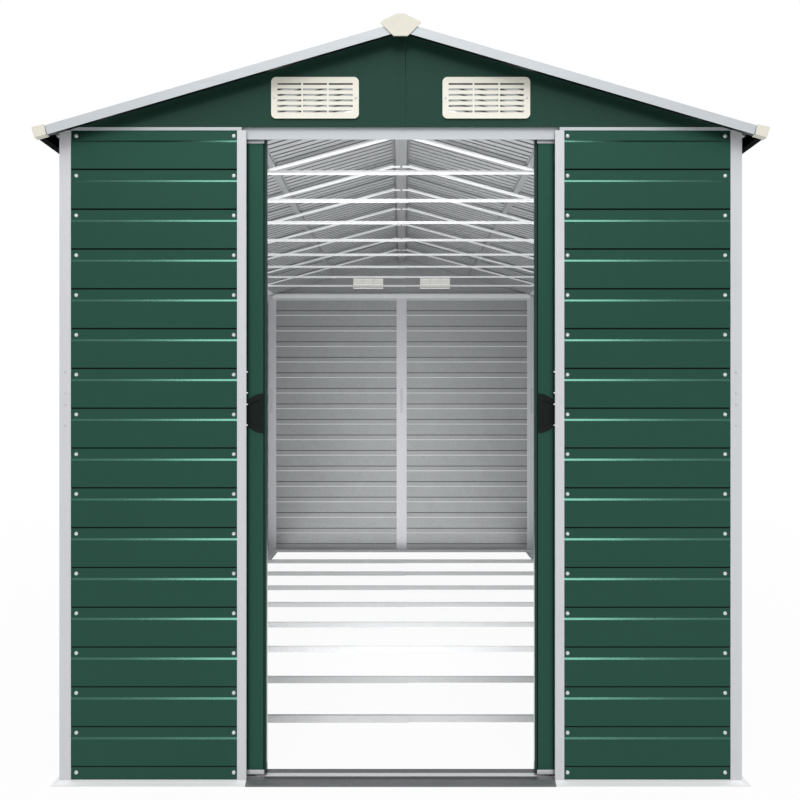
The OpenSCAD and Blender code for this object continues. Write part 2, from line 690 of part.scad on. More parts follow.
// Ridge end caps: a plate before the fascias, and a hood over them that carries on the capping
module ridge_end_caps() color(cream) both_ends() {
    top = crown_z + trim_t;
    side = shoulder_w + trim_t;
    lift = hood_n / cos(roof_angle);
    along(-roof_y - cap_t, -roof_y - fit) both_sides() polygon([
        [0, crown_z - cap_drop], [cap_foot, crown_z - cap_drop], [cap_w, shoulder_z - cap_border],
        [cap_w - cap_border, shoulder_z + cap_border], [crown_w, top + cap_border], [0, top + cap_border]
    ]);
    along(-roof_y - cap_t / 2, -trim_y - fit) both_sides() polygon([
        [0, ridge_z + lift], [root_w, roof_under(root_w) + lift], [side, shoulder_z], [crown_w, top], [0, top]
    ]);
}

// Doors, drawn open on the left, with the right one as its mirror image
module door_leaf() on_front() rise(door_z0 + door_grip, door_z1 - door_grip) sheet([
    [door_x0, door_back], [door_x0, door_set],
    [door_x1 - leaf_rebate - leaf_bevel, door_set], [door_x1 - leaf_rebate, door_set + leaf_step],
    [door_x1, door_set + leaf_step], [door_x1, door_back]
], door_t);
module rail_channel() sheet([
    [door_set - door_grip, door_rail_h], [door_set - door_grip, 0],
    [door_back + door_grip, 0], [door_back + door_grip, door_rail_h]
], rail_t);
module door_rails() on_front() {
    translate([0, 0, door_z0]) run(door_x0, door_x1 - leaf_rebate) rail_channel();
    translate([0, 0, door_z1]) mirror([0, 0, 1]) run(door_x0, door_x1 - leaf_rebate) rail_channel();
}
module half_round(r, t) rotate([90, 0, 0]) linear_extrude(t) intersection() {
    circle(r);
    translate([-r, -r]) square([r, 2 * r]);
}
module door_pull() on_front() translate([door_x1 - leaf_rebate - leaf_bevel - fit, door_set - fit, pull_z])
    difference() {
        half_round(pull_r, pull_t);
        translate([-pull_rim, -pull_t / 2, 0]) half_round(pull_r - 2 * pull_rim, pull_t);
    }
module hanger() {
    mid = (door_set + door_back) / 2;
    shoe_back = track_back - rail_t - run_gap;
    run(0, hanger_w) polygon([
        [mid - strap_d / 2, door_z1 + fit], [mid + strap_d / 2, door_z1 + fit],
        [mid + strap_d / 2, hanger_top - arm_h], [shoe_back - shoe_d, hanger_top - arm_h],
        [shoe_back - shoe_d, lip_top + run_gap], [shoe_back, lip_top + run_gap],
        [shoe_back, hanger_top], [mid - strap_d / 2, hanger_top]
    ]);
}
module glide() translate([0, door_set + glide_inset, base_h + run_gap])
    cube([glide_w, door_d - 2 * glide_inset, door_gap - run_gap - fit]);
module door_runners() on_front() {
    translate([door_x0 + runner_inset, 0, 0]) hanger();
    translate([door_x1 - runner_inset - hanger_w, 0, 0]) hanger();
    translate([door_x0 + runner_inset, 0, 0]) glide();
    translate([door_x1 - runner_inset - glide_w, 0, 0]) glide();
}
module left_door_leaf() color(green) door_leaf();
module left_door_rails() color(pale_grey) door_rails();
module left_door_pull() color(black) door_pull();
module left_door_runners() color(black) door_runners();
module right_door_leaf() color(green) mirror([1, 0, 0]) door_leaf();
module right_door_rails() color(pale_grey) mirror([1, 0, 0]) door_rails();
module right_door_pull() color(black) mirror([1, 0, 0]) door_pull();
module right_door_runners() color(black) mirror([1, 0, 0]) door_runners();

base_rail_front();
base_rail_back();
base_rail_left();
base_rail_right();
floor_bars();
door_sill();
door_guide();
corner_posts_left();
corner_posts_right();
door_jamb_left();
door_jamb_right();
wall_posts();
post_splices();
front_panel_left();
front_panel_right();
side_panels_left();
side_panels_right();
back_panels();
door_track();
back_rail();
eave_rails();
gable_front_left();
gable_front_right();
gable_back_left();
gable_back_right();
vents();
truss_ties();
rafters();
ridge_beam();
purlins();
roof_sheets_left();
roof_sheets_right();
ridge_capping();
ridge_end_caps();
fascias();
eave_trims();
eave_end_caps();
left_door_leaf();
left_door_rails();
left_door_pull();
left_door_runners();
right_door_leaf();
right_door_rails();
right_door_pull();
right_door_runners();
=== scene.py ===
"""Looks of a metal garden shed: finishes for its sheet and plastic, screws and bolts, camera and studio."""

import logging
import math
from abc import ABC, abstractmethod
from collections.abc import Iterable
from dataclasses import dataclass, replace
from enum import Enum
from typing import Any, Union

import bmesh
import bpy
from mathutils import Matrix, Vector


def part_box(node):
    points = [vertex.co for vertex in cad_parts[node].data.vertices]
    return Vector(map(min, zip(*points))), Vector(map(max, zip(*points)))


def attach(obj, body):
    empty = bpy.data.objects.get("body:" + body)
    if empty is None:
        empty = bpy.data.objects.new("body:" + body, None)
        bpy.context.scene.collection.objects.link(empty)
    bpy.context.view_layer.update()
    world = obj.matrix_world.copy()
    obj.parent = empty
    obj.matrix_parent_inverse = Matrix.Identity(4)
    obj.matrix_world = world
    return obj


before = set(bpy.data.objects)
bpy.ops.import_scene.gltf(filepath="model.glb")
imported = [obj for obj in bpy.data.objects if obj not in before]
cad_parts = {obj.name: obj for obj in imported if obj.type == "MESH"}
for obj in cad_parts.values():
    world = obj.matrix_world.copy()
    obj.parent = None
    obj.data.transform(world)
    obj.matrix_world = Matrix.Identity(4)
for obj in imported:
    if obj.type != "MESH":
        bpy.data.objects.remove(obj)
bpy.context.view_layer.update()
LOG = logging.getLogger("shed")

Colour = tuple[float, float, float, float]
Point = tuple[float, float, float]
Tones = tuple[tuple["Side", Colour], ...]
Value = Union["Signal", bpy.types.NodeSocket, float, int, bool, str, tuple]


class Side(Enum):
    """A way in which a face can look."""

    FRONT = (0.0, -1.0, 0.0)
    BACK = (0.0, 1.0, 0.0)
    LEFT = (-1.0, 0.0, 0.0)
    RIGHT = (1.0, 0.0, 0.0)
    UP = (0.0, 0.0, 1.0)
    DOWN = (0.0, 0.0, -1.0)

    @property
    def out(self) -> Vector:
        """The direction as a vector."""
        return Vector(self.value)

    @property
    def label(self) -> str:
        """The side's name as the pieces and materials spell it."""
        return self.name.lower()

    @classmethod
    def ends(cls) -> tuple["Side", "Side"]:
        """The two sides that have a gable."""
        return cls.FRONT, cls.BACK

    @classmethod
    def hands(cls) -> tuple["Side", "Side"]:
        """The two sides that have a slope of the roof and a door."""
        return cls.LEFT, cls.RIGHT


def shade(red: int, green: int, blue: int) -> Colour:
    """Turns a colour as it is seen on a screen into the linear one that a shader takes.

    Args:
        red: Red from 0 to 255.
        green: Green from 0 to 255.
        blue: Blue from 0 to 255.

    Returns:
        The linear colour, with full opacity.
    """
    def linear(level: int) -> float:
        """One channel, by the standard curve of screens."""
        part = level / 255
        return part / 12.92 if part <= 0.04045 else ((part + 0.055) / 1.055) ** 2.4

    return linear(red), linear(green), linear(blue), 1.0


class Signal:
    """A shader socket that takes part in sums; each operation adds its Math node."""

    def __init__(self, graph: "Graph", socket: bpy.types.NodeSocket) -> None:
        """Wraps one output socket of a graph."""
        self.graph = graph
        self.socket = socket

    def _math(self, operation: str, first: Value, second: Value) -> "Signal":
        """Adds a Math node to the graph and returns what it puts out."""
        node = self.graph.add("ShaderNodeMath", {"operation": operation}, {0: first, 1: second})
        return Signal(self.graph, node.outputs[0])

    def __add__(self, other: Value) -> "Signal":
        """The sum of two signals."""
        return self._math("ADD", self, other)

    def __sub__(self, other: Value) -> "Signal":
        """This signal less another."""
        return self._math("SUBTRACT", self, other)

    def __rsub__(self, other: Value) -> "Signal":
        """A number less this signal."""
        return self._math("SUBTRACT", other, self)

    def __mul__(self, other: Value) -> "Signal":
        """The product of two signals."""
        return self._math("MULTIPLY", self, other)

    def __gt__(self, other: Value) -> "Signal":
        """1 where this signal is the greater one, and 0 elsewhere."""
        return self._math("GREATER_THAN", self, other)

    def either(self, other: Value) -> "Signal":
        """The greater of two signals."""
        return self._math("MAXIMUM", self, other)

    def kept_under(self, other: Value) -> "Signal":
        """The lesser of two signals."""
        return self._math("MINIMUM", self, other)

    __radd__ = __add__
    __rmul__ = __mul__


class Graph:
    """The node tree of a material or of the world."""

    # Cosines from which a face counts as painted, turned to a side, undercut or square to a side
    PAINTED = -0.25
    TURNED = 0.3
    UNDERCUT = 0.4
    SQUARE = 0.8

    def __init__(self, tree: bpy.types.NodeTree) -> None:
        """Empties a node tree and takes it over."""
        tree.nodes.clear()
        self.tree = tree
        self.coordinates: bpy.types.Node = self.add("ShaderNodeTexCoord")

    def add(
        self, kind: str, settings: dict[str, Any] | None = None,
        inputs: dict[str | int, Value] | None = None,
    ) -> bpy.types.Node:
        """Adds a node.

        Args:
            kind: Blender's name for the type of node.
            settings: Values of the node itself, which are set first.
            inputs: A number, colour or link for each socket, by name or place.

        Returns:
            The new node.
        """
        node = self.tree.nodes.new(kind)
        for name, value in (settings or {}).items():
            setattr(node, name, value)
        for name, value in (inputs or {}).items():
            source = value.socket if isinstance(value, Signal) else value
            if isinstance(source, bpy.types.NodeSocket):
                self.tree.links.new(source, node.inputs[name])
            else:
                node.inputs[name].default_value = source
        return node

    def noise(self, scale: float, detail: float = 3.0, stretch: Point = (1, 1, 1)) -> Signal:
        """Adds a noise on the piece's own coordinates.

        Args:
            scale: Grains to a metre.
            detail: Finer layers of the noise.
            stretch: How much closer the grains lie along each axis.

        Returns:
            The noise, from 0 to 1.
        """
        spot = self.add(
            "ShaderNodeMapping", {}, {"Vector": self.coordinates.outputs["Object"], "Scale": stretch}
        )
        node = self.add(
            "ShaderNodeTexNoise", {}, {"Vector": spot.outputs[0], "Scale": scale, "Detail": detail}
        )
        return Signal(self, node.outputs["Fac"])

    def spangle(self, scale: float) -> Signal:
        """Adds the crystals of a zinc coat, with a level of its own for each one.

        Args:
            scale: Crystals to a metre.

        Returns:
            The level of each crystal, from 0 to 1.
        """
        cells = self.add(
            "ShaderNodeTexVoronoi", {}, {"Vector": self.coordinates.outputs["Object"], "Scale": scale}
        )
        parts = self.add("ShaderNodeSeparateColor", {}, {0: cells.outputs["Color"]})
        return Signal(self, parts.outputs[0])

    def mix(self, share: Value, first: Value, second: Value) -> bpy.types.NodeSocket:
        """Adds a mix of two colours.

        Args:
            share: 0 for the first colour and 1 for the second.
            first: Colour at 0.
            second: Colour at 1.

        Returns:
            The socket of the mixed colour.
        """
        node = self.add("ShaderNodeMix", {"data_type": "RGBA"}, {0: share, 6: first, 7: second})
        return node.outputs[2]

    def facing(self, side: Side, limit: float) -> Signal:
        """Marks the faces that look out on a side.

        Args:
            side: The side.
            limit: How far a face turns to that side, as the cosine of its angle, to be marked.

        Returns:
            1 on the marked faces and 0 on the others.
        """
        node = self.add(
            "ShaderNodeVectorMath", {"operation": "DOT_PRODUCT"},
            {0: self.coordinates.outputs["Normal"], 1: side.value},
        )
        return Signal(self, node.outputs["Value"]) > limit

    def distance(self) -> Signal:
        """Adds the distance from the piece's origin in metres."""
        node = self.add(
            "ShaderNodeVectorMath", {"operation": "LENGTH"}, {0: self.coordinates.outputs["Object"]}
        )
        return Signal(self, node.outputs["Value"])

    def bump(
        self, height: Signal, depth: float, under: bpy.types.NodeSocket | None = None
    ) -> bpy.types.NodeSocket:
        """Adds relief to the surface.

        Args:
            height: The relief, from 0 to 1.
            depth: Its depth in metres.
            under: The normal that it lies on, where there is another relief.

        Returns:
            The socket of the normal.
        """
        inputs: dict[str | int, Value] = {"Height": height, "Distance": depth, "Strength": 1.0}
        if under is not None:
            inputs["Normal"] = under
        return self.add("ShaderNodeBump", {}, inputs).outputs[0]

    def surface(self, **inputs: Value) -> None:
        """Ends the graph in a Principled shader; its sockets are named with _ for a space."""
        named = {name.replace("_", " "): value for name, value in inputs.items()}
        shader = self.add("ShaderNodeBsdfPrincipled", {}, named)
        self.add("ShaderNodeOutputMaterial", {}, {"Surface": shader.outputs[0]})


def new_material(name: str) -> tuple[bpy.types.Material, Graph]:
    """A new material of that name, and its empty graph."""
    material = bpy.data.materials.new(name)
    material.use_nodes = True
    return material, Graph(material.node_tree)


@dataclass(frozen=True)
class ZincCoat:
    """Bare galvanised steel with its crystals."""

    dark: Colour = shade(176, 178, 180)
    light: Colour = shade(206, 208, 210)
    crystals: float = 110.0
    crystal_share: float = 0.25
    clouds: float = 9.0
    cloud_share: float = 0.4
    dents: float = 14.0
    dent_depth: float = 0.0006
    grain: float = 900.0
    grain_depth: float = 0.00004
    metal: float = 0.55
    rough: float = 0.42
    spread: float = 0.1
    # Painted light and shade: a colour that takes the coat's place on the faces that look to each side.
    painted_light_tones: Tones = ()

    def colour(self, graph: Graph) -> bpy.types.NodeSocket:
        """The colour of the coat in a graph, with painted light and shade in the given tones on the faces
        that look to some sides.
        """
        margin = (1.0 - self.crystal_share - self.cloud_share) / 2
        crystals = graph.spangle(self.crystals) * self.crystal_share
        flakes = crystals + graph.noise(self.clouds) * self.cloud_share + margin
        coat = graph.mix(flakes, self.dark, self.light)
        for side, tone in self.painted_light_tones:
            coat = graph.mix(graph.facing(side, Graph.TURNED), coat, tone)
        return coat

    def material(self, name: str) -> bpy.types.Material:
        """Makes the material.

        Args:
            name: Name of the material.

        Returns:
            The material.
        """
        material, graph = new_material(name)
        dents = graph.bump(graph.noise(self.dents), self.dent_depth)
        graph.surface(
            Base_Color=self.colour(graph),
            Metallic=self.metal,
            Roughness=graph.spangle(self.crystals) * self.spread + self.rough,
            Normal=graph.bump(graph.noise(self.grain, 2.0), self.grain_depth, dents),
        )
        return material


@dataclass(frozen=True)
class PaintedSheet:
    """Roll-formed sheet, painted on its outer face and galvanised on its inner face."""

    dark: Colour = shade(40, 74, 63)
    light: Colour = shade(47, 83, 71)
    # Painted shadow: the faces that look down, under each board and under the trims, are coloured near
    # black to stand for the shade there.
    hem_shadow: Colour = shade(9, 16, 14)
    # Painted highlight: the upturned crease faces of upright sheets are coloured lighter, as where they
    # catch the key light.
    crease_highlight: Colour = shade(60, 96, 84)
    # On the inner faces, painted shade darkens the faces that look up and a painted highlight lightens the
    # faces that look down.
    zinc: ZincCoat = ZincCoat(
        shade(144, 146, 147), shade(168, 170, 171),
        painted_light_tones=((Side.UP, shade(62, 64, 65)), (Side.DOWN, shade(226, 228, 229))),
    )
    metal: float = 0.92
    rough: float = 0.3
    polish: float = 0.16
    gloss: float = 0.15
    smears: float = 25.0
    spread: float = 0.06
    clouds: float = 2.2
    mottle: float = 40.0
    mottle_share: float = 0.4
    waves: float = 5.0
    wave_depth: float = 0.0003
    peel: float = 700.0
    peel_depth: float = 0.00003

    def material(self, name: str, side: Side, both_faces: bool = False) -> bpy.types.Material:
        """Makes the material of sheets whose paint looks out on one side.

        Args:
            name: Name of the material.
            side: Where the painted face looks.
            both_faces: Whether the inner face is painted too.

        Returns:
            The material.
        """
        material, graph = new_material(name)
        painted = graph.facing(side, -2.0 if both_faces else Graph.PAINTED)
        mottle = graph.noise(self.mottle) * self.mottle_share
        drift = graph.noise(self.clouds) * (1.0 - self.mottle_share) + mottle
        paint = graph.mix(drift, self.dark, self.light)
        metal = painted * (self.metal - self.zinc.metal) + self.zinc.metal
        smears = graph.noise(self.smears) * self.spread
        rough = painted * (self.rough - self.zinc.rough) + self.zinc.rough + smears
        if side.out.z == 0:
            # Painted highlight: lighter paint on the crease faces that look up, which are also polished.
            crease_highlight = graph.facing(Side.UP, Graph.TURNED)
            paint = graph.mix(crease_highlight, paint, self.crease_highlight)
            rough = rough - crease_highlight * self.polish
        if both_faces or side.out.z == 0:
            # Painted shadow: a near-black colour without metal on the faces that look down, where the gap
            # under each board lies in shade.
            hem_shadow = graph.facing(Side.DOWN, Graph.UNDERCUT)
            paint = graph.mix(hem_shadow, paint, self.hem_shadow)
            metal = metal * (1.0 - hem_shadow)
            rough = rough.either(hem_shadow)
        waves = graph.bump(graph.noise(self.waves), self.wave_depth)
        graph.surface(
            Base_Color=graph.mix(painted, self.zinc.colour(graph), paint),
            Metallic=metal,
            Roughness=rough,
            Specular_IOR_Level=self.gloss,
            Normal=graph.bump(graph.noise(self.peel, 2.0), self.peel_depth, waves),
        )
        return material


@dataclass(frozen=True)
class PaleCoat:
    """Pale grey coat on folded posts, rails and fascias, with the faint lines of rolling."""

    dark: Colour = shade(196, 197, 200)
    light: Colour = shade(212, 213, 216)
    # Painted shadow colour for the faces that look down.
    hem_shadow: Colour = shade(14, 18, 17)
    metal: float = 0.3
    rough: float = 0.36
    spread: float = 0.1
    lines: float = 60.0
    line_share: float = 0.7
    line_depth: float = 0.00005
    clouds: float = 6.0

    def material(self, name: str, stretch: Point, underside_shadow: bool = False) -> bpy.types.Material:
        """Makes the material of sections that were rolled in one direction.

        Args:
            name: Name of the material.
            stretch: Closeness of the rolling lines along each axis.
            underside_shadow: Whether the faces that look down get a near-black painted shadow.

        Returns:
            The material.
        """
        material, graph = new_material(name)
        lines = graph.noise(self.lines, 4.0, stretch)
        clouds = graph.noise(self.clouds) * (1.0 - self.line_share)
        coat = graph.mix(lines * self.line_share + clouds, self.dark, self.light)
        if underside_shadow:
            # Painted shadow: a near-black colour on the faces that look down, for the shade in the gap
            # under the fascia.
            coat = graph.mix(graph.facing(Side.DOWN, Graph.SQUARE), coat, self.hem_shadow)
        graph.surface(
            Base_Color=coat,
            Metallic=self.metal,
            Roughness=lines * self.spread + self.rough,
            Normal=graph.bump(lines, self.line_depth),
        )
        return material


@dataclass(frozen=True)
class MouldedPlastic:
    """Injection-moulded plastic with a fine grain."""

    dark: Colour
    light: Colour
    rough: float
    gloss: float = 0.5
    # Painted shade: a dark colour for the faces that look down, such as the undersides of vent blades, so
    # the slots read as shaded.
    under: Colour | None = None
    clouds: float = 30.0
    spread: float = 0.1
    grain: float = 1400.0
    grain_depth: float = 0.00006

    def material(self, name: str) -> bpy.types.Material:
        """Makes the material.

        Args:
            name: Name of the material.

        Returns:
            The material.
        """
        material, graph = new_material(name)
        clouds = graph.noise(self.clouds)
        colour = graph.mix(clouds, self.dark, self.light)
        if self.under is not None:
            # Painted shade on the faces that look down.
            colour = graph.mix(graph.facing(Side.DOWN, Graph.UNDERCUT), colour, self.under)
        graph.surface(
            Base_Color=colour,
            Roughness=clouds * self.spread + self.rough,
            Specular_IOR_Level=self.gloss,
            Normal=graph.bump(graph.noise(self.grain, 2.0), self.grain_depth),
        )
        return material


@dataclass(frozen=True)
class PlatedSteel:
    """Bright plating on screws and bolts, dulled here and there."""

    dull: Colour = shade(176, 181, 180)
    bright: Colour = shade(220, 226, 224)
    metal: float = 0.75
    rough: float = 0.25
    spread: float = 0.2
    spots: float = 300.0
    grain: float = 2500.0
    grain_depth: float = 0.00002

    def material(self, name: str) -> bpy.types.Material:
        """Makes the material.

        Args:
            name: Name of the material.

        Returns:
            The material.
        """
        material, graph = new_material(name)
        wear = graph.noise(self.spots)
        graph.surface(
            Base_Color=graph.mix(wear, self.dull, self.bright),
            Metallic=self.metal,
            Roughness=wear * self.spread + self.rough,
            Normal=graph.bump(graph.noise(self.grain, 1.0), self.grain_depth),
        )
        return material


class Palette:
    """All the finishes of the shed, each made once."""

    UPRIGHT: Point = (8.0, 8.0, 0.1)
    ACROSS: Point = (0.1, 8.0, 8.0)

    def __init__(self) -> None:
        """Makes the materials."""
        sheet = PaintedSheet()
        # Painted shade: the inner faces of the roof's rib flanks that look to the front are coloured
        # darker.
        shaded_flanks: Tones = ((Side.FRONT, shade(102, 104, 105)),)
        ribbed = PaintedSheet(zinc=ZincCoat(shade(164, 166, 167), shade(188, 190, 191), painted_light_tones=shaded_flanks))
        # The gables take a darker copy of the green paint: painted shade, as under the overhang of the
        # fascia.
        gable = PaintedSheet(
            shade(37, 66, 56), shade(42, 72, 62), metal=0.4, rough=0.2,
            zinc=ZincCoat(shade(148, 150, 151), shade(168, 170, 171)),
        )
        walls = Side.ends() + Side.hands()
        self.green = {side: sheet.material(f"green_sheet_{side.label}", side) for side in walls}
        self.green_gable = {side: gable.material(f"green_gable_{side.label}", side) for side in Side.ends()}
        self.green_roof = ribbed.material("green_sheet_roof", Side.UP)
        self.green_trim = sheet.material("green_sheet_trim", Side.UP, both_faces=True)

        cool = PaleCoat(shade(182, 187, 191), shade(198, 203, 207))
        matte = PaleCoat(shade(222, 223, 224), shade(236, 237, 238), metal=0.1)
        glossy = PaleCoat(metal=0.7, rough=0.3)
        self.pale_upright = PaleCoat().material("pale_steel_upright", self.UPRIGHT)
        self.pale_track = cool.material("pale_steel_track", self.ACROSS)
        self.pale_underside_shadow = cool.material("pale_steel_underside_shadow", self.ACROSS, underside_shadow=True)
        self.pale_base = matte.material("pale_steel_base", self.ACROSS)
        self.pale_bright = glossy.material("pale_steel_bright", self.ACROSS)

        bright = ZincCoat(shade(222, 224, 225), shade(238, 239, 240), metal=0.15)
        white = ZincCoat(shade(240, 242, 243), shade(250, 251, 252), metal=0.05)
        dull = ZincCoat(shade(106, 108, 110), shade(126, 128, 130), metal=0.8)
        self.zinc = ZincCoat().material("zinc_steel")
        self.grey_zinc = replace(sheet.zinc, painted_light_tones=()).material("grey_zinc")
        self.bright_zinc = bright.material("bright_zinc")
        self.tie_zinc = white.material("tie_zinc")
        self.dull_zinc = dull.material("dull_zinc")
        self.plated = PlatedSteel().material("plated_steel")

        cream = MouldedPlastic(shade(220, 216, 202), shade(232, 229, 217), 0.4)
        # The vent's blades are coloured dark on their undersides: painted shade.
        vent = MouldedPlastic(shade(238, 235, 221), shade(247, 245, 233), 0.4, under=shade(70, 68, 60))
        black = MouldedPlastic(shade(8, 15, 13), shade(15, 22, 20), 0.5, gloss=0.15)
        # Painted shade: a dark strip in the door's rebate, where the closing edge lies in shade.
        shaded_edge_plastic = MouldedPlastic(shade(30, 56, 47), shade(36, 64, 54), 0.6, gloss=0.2)
        self.cream = cream.material("cream_plastic")
        self.vent_cream = vent.material("vent_plastic")
        self.black = black.material("black_plastic")
        self.seal = shaded_edge_plastic.material("painted_edge_shade")


def dress(material: bpy.types.Material, *nodes: str) -> None:
    """Gives a material to some of the frame's pieces.

    Args:
        material: The finish.
        nodes: Names of the pieces.
    """
    for name in nodes:
        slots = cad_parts[name].data.materials
        slots.clear()
        slots.append(material)


def place(at: Vector, out: Vector) -> Matrix:
    """The matrix that sets a piece drawn along Z down at a point, looking out in a direction."""
    return Matrix.Translation(at) @ out.to_track_quat("Z", "Y").to_matrix().to_4x4()


def as_mesh(shape: bmesh.types.BMesh, name: str) -> bpy.types.Mesh:
    """Ends a shape in the making as a mesh of that name."""
    mesh = bpy.data.meshes.new(name)
    shape.to_mesh(mesh)
    shape.free()
    return mesh


def show(mesh: bpy.types.Mesh, material: bpy.types.Material) -> bpy.types.Object:
    """Puts a mesh into the scene, at the origin and with its finish, as an object of its own name."""
    mesh.materials.append(material)
    made = bpy.data.objects.new(mesh.name, mesh)
    bpy.context.scene.collection.objects.link(made)
    return made


class Piece:
    """A mesh in the making, which ends as one object that rides on the frame."""

    def __init__(self, name: str) -> None:
        """Starts an empty mesh."""
        self.name = name
        self.shape = bmesh.new()

    def stamp(self, pattern: bpy.types.Mesh, places: Iterable[Matrix]) -> "Piece":
        """Sets a small mesh down at many places.

        Args:
            pattern: The small mesh, drawn at the origin.
            places: Where it goes.

        Returns:
            The piece itself.
        """
        for matrix in places:
            copy = pattern.copy()
            copy.transform(matrix)
            self.shape.from_mesh(copy)
            bpy.data.meshes.remove(copy)
        return self

    def finish(self, material: bpy.types.Material, slot: str, body: str = "shed") -> None:
        """Turns the mesh into an object.

        Args:
            material: Its finish.
            slot: The record's slot for that finish; not used.
            body: The body that carries it.
        """
        mesh = as_mesh(self.shape, self.name)
        made = show(mesh, material)
        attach(made, body)
        LOG.info("%s: %d faces on %s", self.name, len(mesh.polygons), body)


def turned(name: str, outline: list[tuple[float, float]], steps: int) -> bpy.types.Mesh:
    """Turns an outline about Z, as on a lathe.

    Args:
        name: Name of the mesh.
        outline: Radius and height of each point, from the rim to the middle.
        steps: Flat faces around.

    Returns:
        The closed shape, without its underside.
    """
    shape = bmesh.new()
    points = [shape.verts.new((radius, 0.0, height)) for radius, height in outline]
    edges = [shape.edges.new(pair) for pair in zip(points, points[1:])]
    bmesh.ops.spin(
        shape, geom=points + edges, axis=(0, 0, 1), cent=(0, 0, 0), steps=steps, angle=math.tau,
        use_merge=True,
    )
    bmesh.ops.remove_doubles(shape, verts=shape.verts, dist=1e-6)
    bmesh.ops.recalc_face_normals(shape, faces=shape.faces)
    return as_mesh(shape, name)


def hexagon(name: str, across: float, height: float, chamfer: float) -> bpy.types.Mesh:
    """A hexagon head with a chamfered top, standing on the origin.

    Args:
        name: Name of the mesh.
        across: Width over the corners.
        height: Height of the head.
        chamfer: Width of the chamfer.

    Returns:
        The head.
    """
    shape = bmesh.new()
    bmesh.ops.create_cone(
        shape, cap_ends=True, segments=6, radius1=across / 2, radius2=across / 2, depth=height,
        matrix=Matrix.Translation((0, 0, height / 2)),
    )
    rim = [edge for edge in shape.edges if min(v.co.z for v in edge.verts) > height / 2]
    bmesh.ops.bevel(
        shape, geom=rim, offset=chamfer, affect="EDGES", segments=1, profile=0.5, material=-1
    )
    return as_mesh(shape, name)


class Hardware:
    """The patterns of the screws and bolts."""

    def __init__(self) -> None:
        """Makes each pattern once."""
        self.pan_head = turned("pan_head", [
            (0.0054, 0.0), (0.0054, 0.0009), (0.0040, 0.0024), (0.0017, 0.0027), (0.0, 0.0018)
        ], 10)
        self.washer_screw = turned("washer_screw", [
            (0.0075, 0.0), (0.0068, 0.0014), (0.0045, 0.0016), (0.0040, 0.0048), (0.0, 0.0050)
        ], 10)
        self.small_bolt = turned("small_bolt", [(0.0032, 0.0), (0.0030, 0.0012), (0.0, 0.0016)], 8)
        self.bolt_tip = turned("bolt_tip", [
            (0.0020, 0.0), (0.0020, 0.0035), (0.0014, 0.0040), (0.0, 0.0040)
        ], 10)
        self.hex_head = hexagon("hex_head", 0.0105, 0.0040, 0.0008)


def spans(low: float, high: float, count: int, gap: float) -> list[tuple[float, float]]:
    """Shares a length out among equal panels.

    Args:
        low: Start of the length.
        high: End of the length.
        count: Number of panels.
        gap: Gap between two panels.

    Returns:
        Start and end of each panel.
    """
    width = (high - low - (count - 1) * gap) / count
    return [(low + i * (width + gap), low + i * (width + gap) + width) for i in range(count)]


@dataclass
class SubAssembly(ABC):
    """A group of the shed's pieces that are finished together, with the fasteners that hold them."""

    palette: Palette

    @abstractmethod
    def dress(self) -> None:
        """Gives the group's pieces of the frame their finishes."""

    def build(self) -> None:
        """Adds the pieces that the frame leaves to the scene, in a group that has some."""


@dataclass
class Cladding(SubAssembly):
    """The wall panels and the screws in their grooves."""

    hardware: Hardware
    pitch: float = 0.1047
    rows: int = 17
    first_row: float = 0.0290
    screw_inset: float = 0.011
    doorway_inset: float = 0.009
    corner_inset: float = 0.013
    head_edge: float = 0.0068
    groove: float = 0.0025
    post: float = 0.0244
    side_bays: int = 4

    def dress(self) -> None:
        """Paints the panels on their outer faces."""
        dress(self.palette.green[Side.FRONT], "front_panel_left", "front_panel_right")
        dress(self.palette.green[Side.BACK], "back_panels")
        dress(self.palette.green[Side.LEFT], "side_panels_left")
        dress(self.palette.green[Side.RIGHT], "side_panels_right")

    def build(self) -> None:
        """Screws every panel to the posts at both of its edges."""
        both = (self.screw_inset, self.screw_inset)
        self._screws("front_panel_left", Side.FRONT, 1, (self.corner_inset, self.doorway_inset))
        self._screws("front_panel_right", Side.FRONT, 1, (self.doorway_inset, self.corner_inset))
        self._screws("back_panels", Side.BACK, 2, both)
        self._screws("side_panels_left", Side.LEFT, self.side_bays, both)
        self._screws("side_panels_right", Side.RIGHT, self.side_bays, both)

    def _screws(self, node: str, side: Side, panels: int, insets: tuple[float, float]) -> None:
        """Builds the screws of one wall.

        Args:
            node: The wall's panels.
            side: Where they look.
            panels: How many there are.
            insets: Distance of the screws from the start and the end of a panel.
        """
        low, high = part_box(node)
        run = 0 if side.out.x == 0 else 1
        depth = 1 - run
        face = (high if side.out[depth] > 0 else low)[depth] - side.out[depth] * self.groove
        rows = [self.first_row + i * self.pitch for i in range(self.rows)]
        heights = [min(row, high.z - self.head_edge) for row in rows]
        places = []
        for start, end in spans(low[run], high[run], panels, self.post):
            for along in (start + insets[0], end - insets[1]):
                for height in heights:
                    at = Vector((along, face, height) if run == 0 else (face, along, height))
                    places.append(place(at, side.out))
        screws = Piece(f"{node}_screws").stamp(self.hardware.pan_head, places)
        screws.finish(self.palette.plated, "zinc_steel")


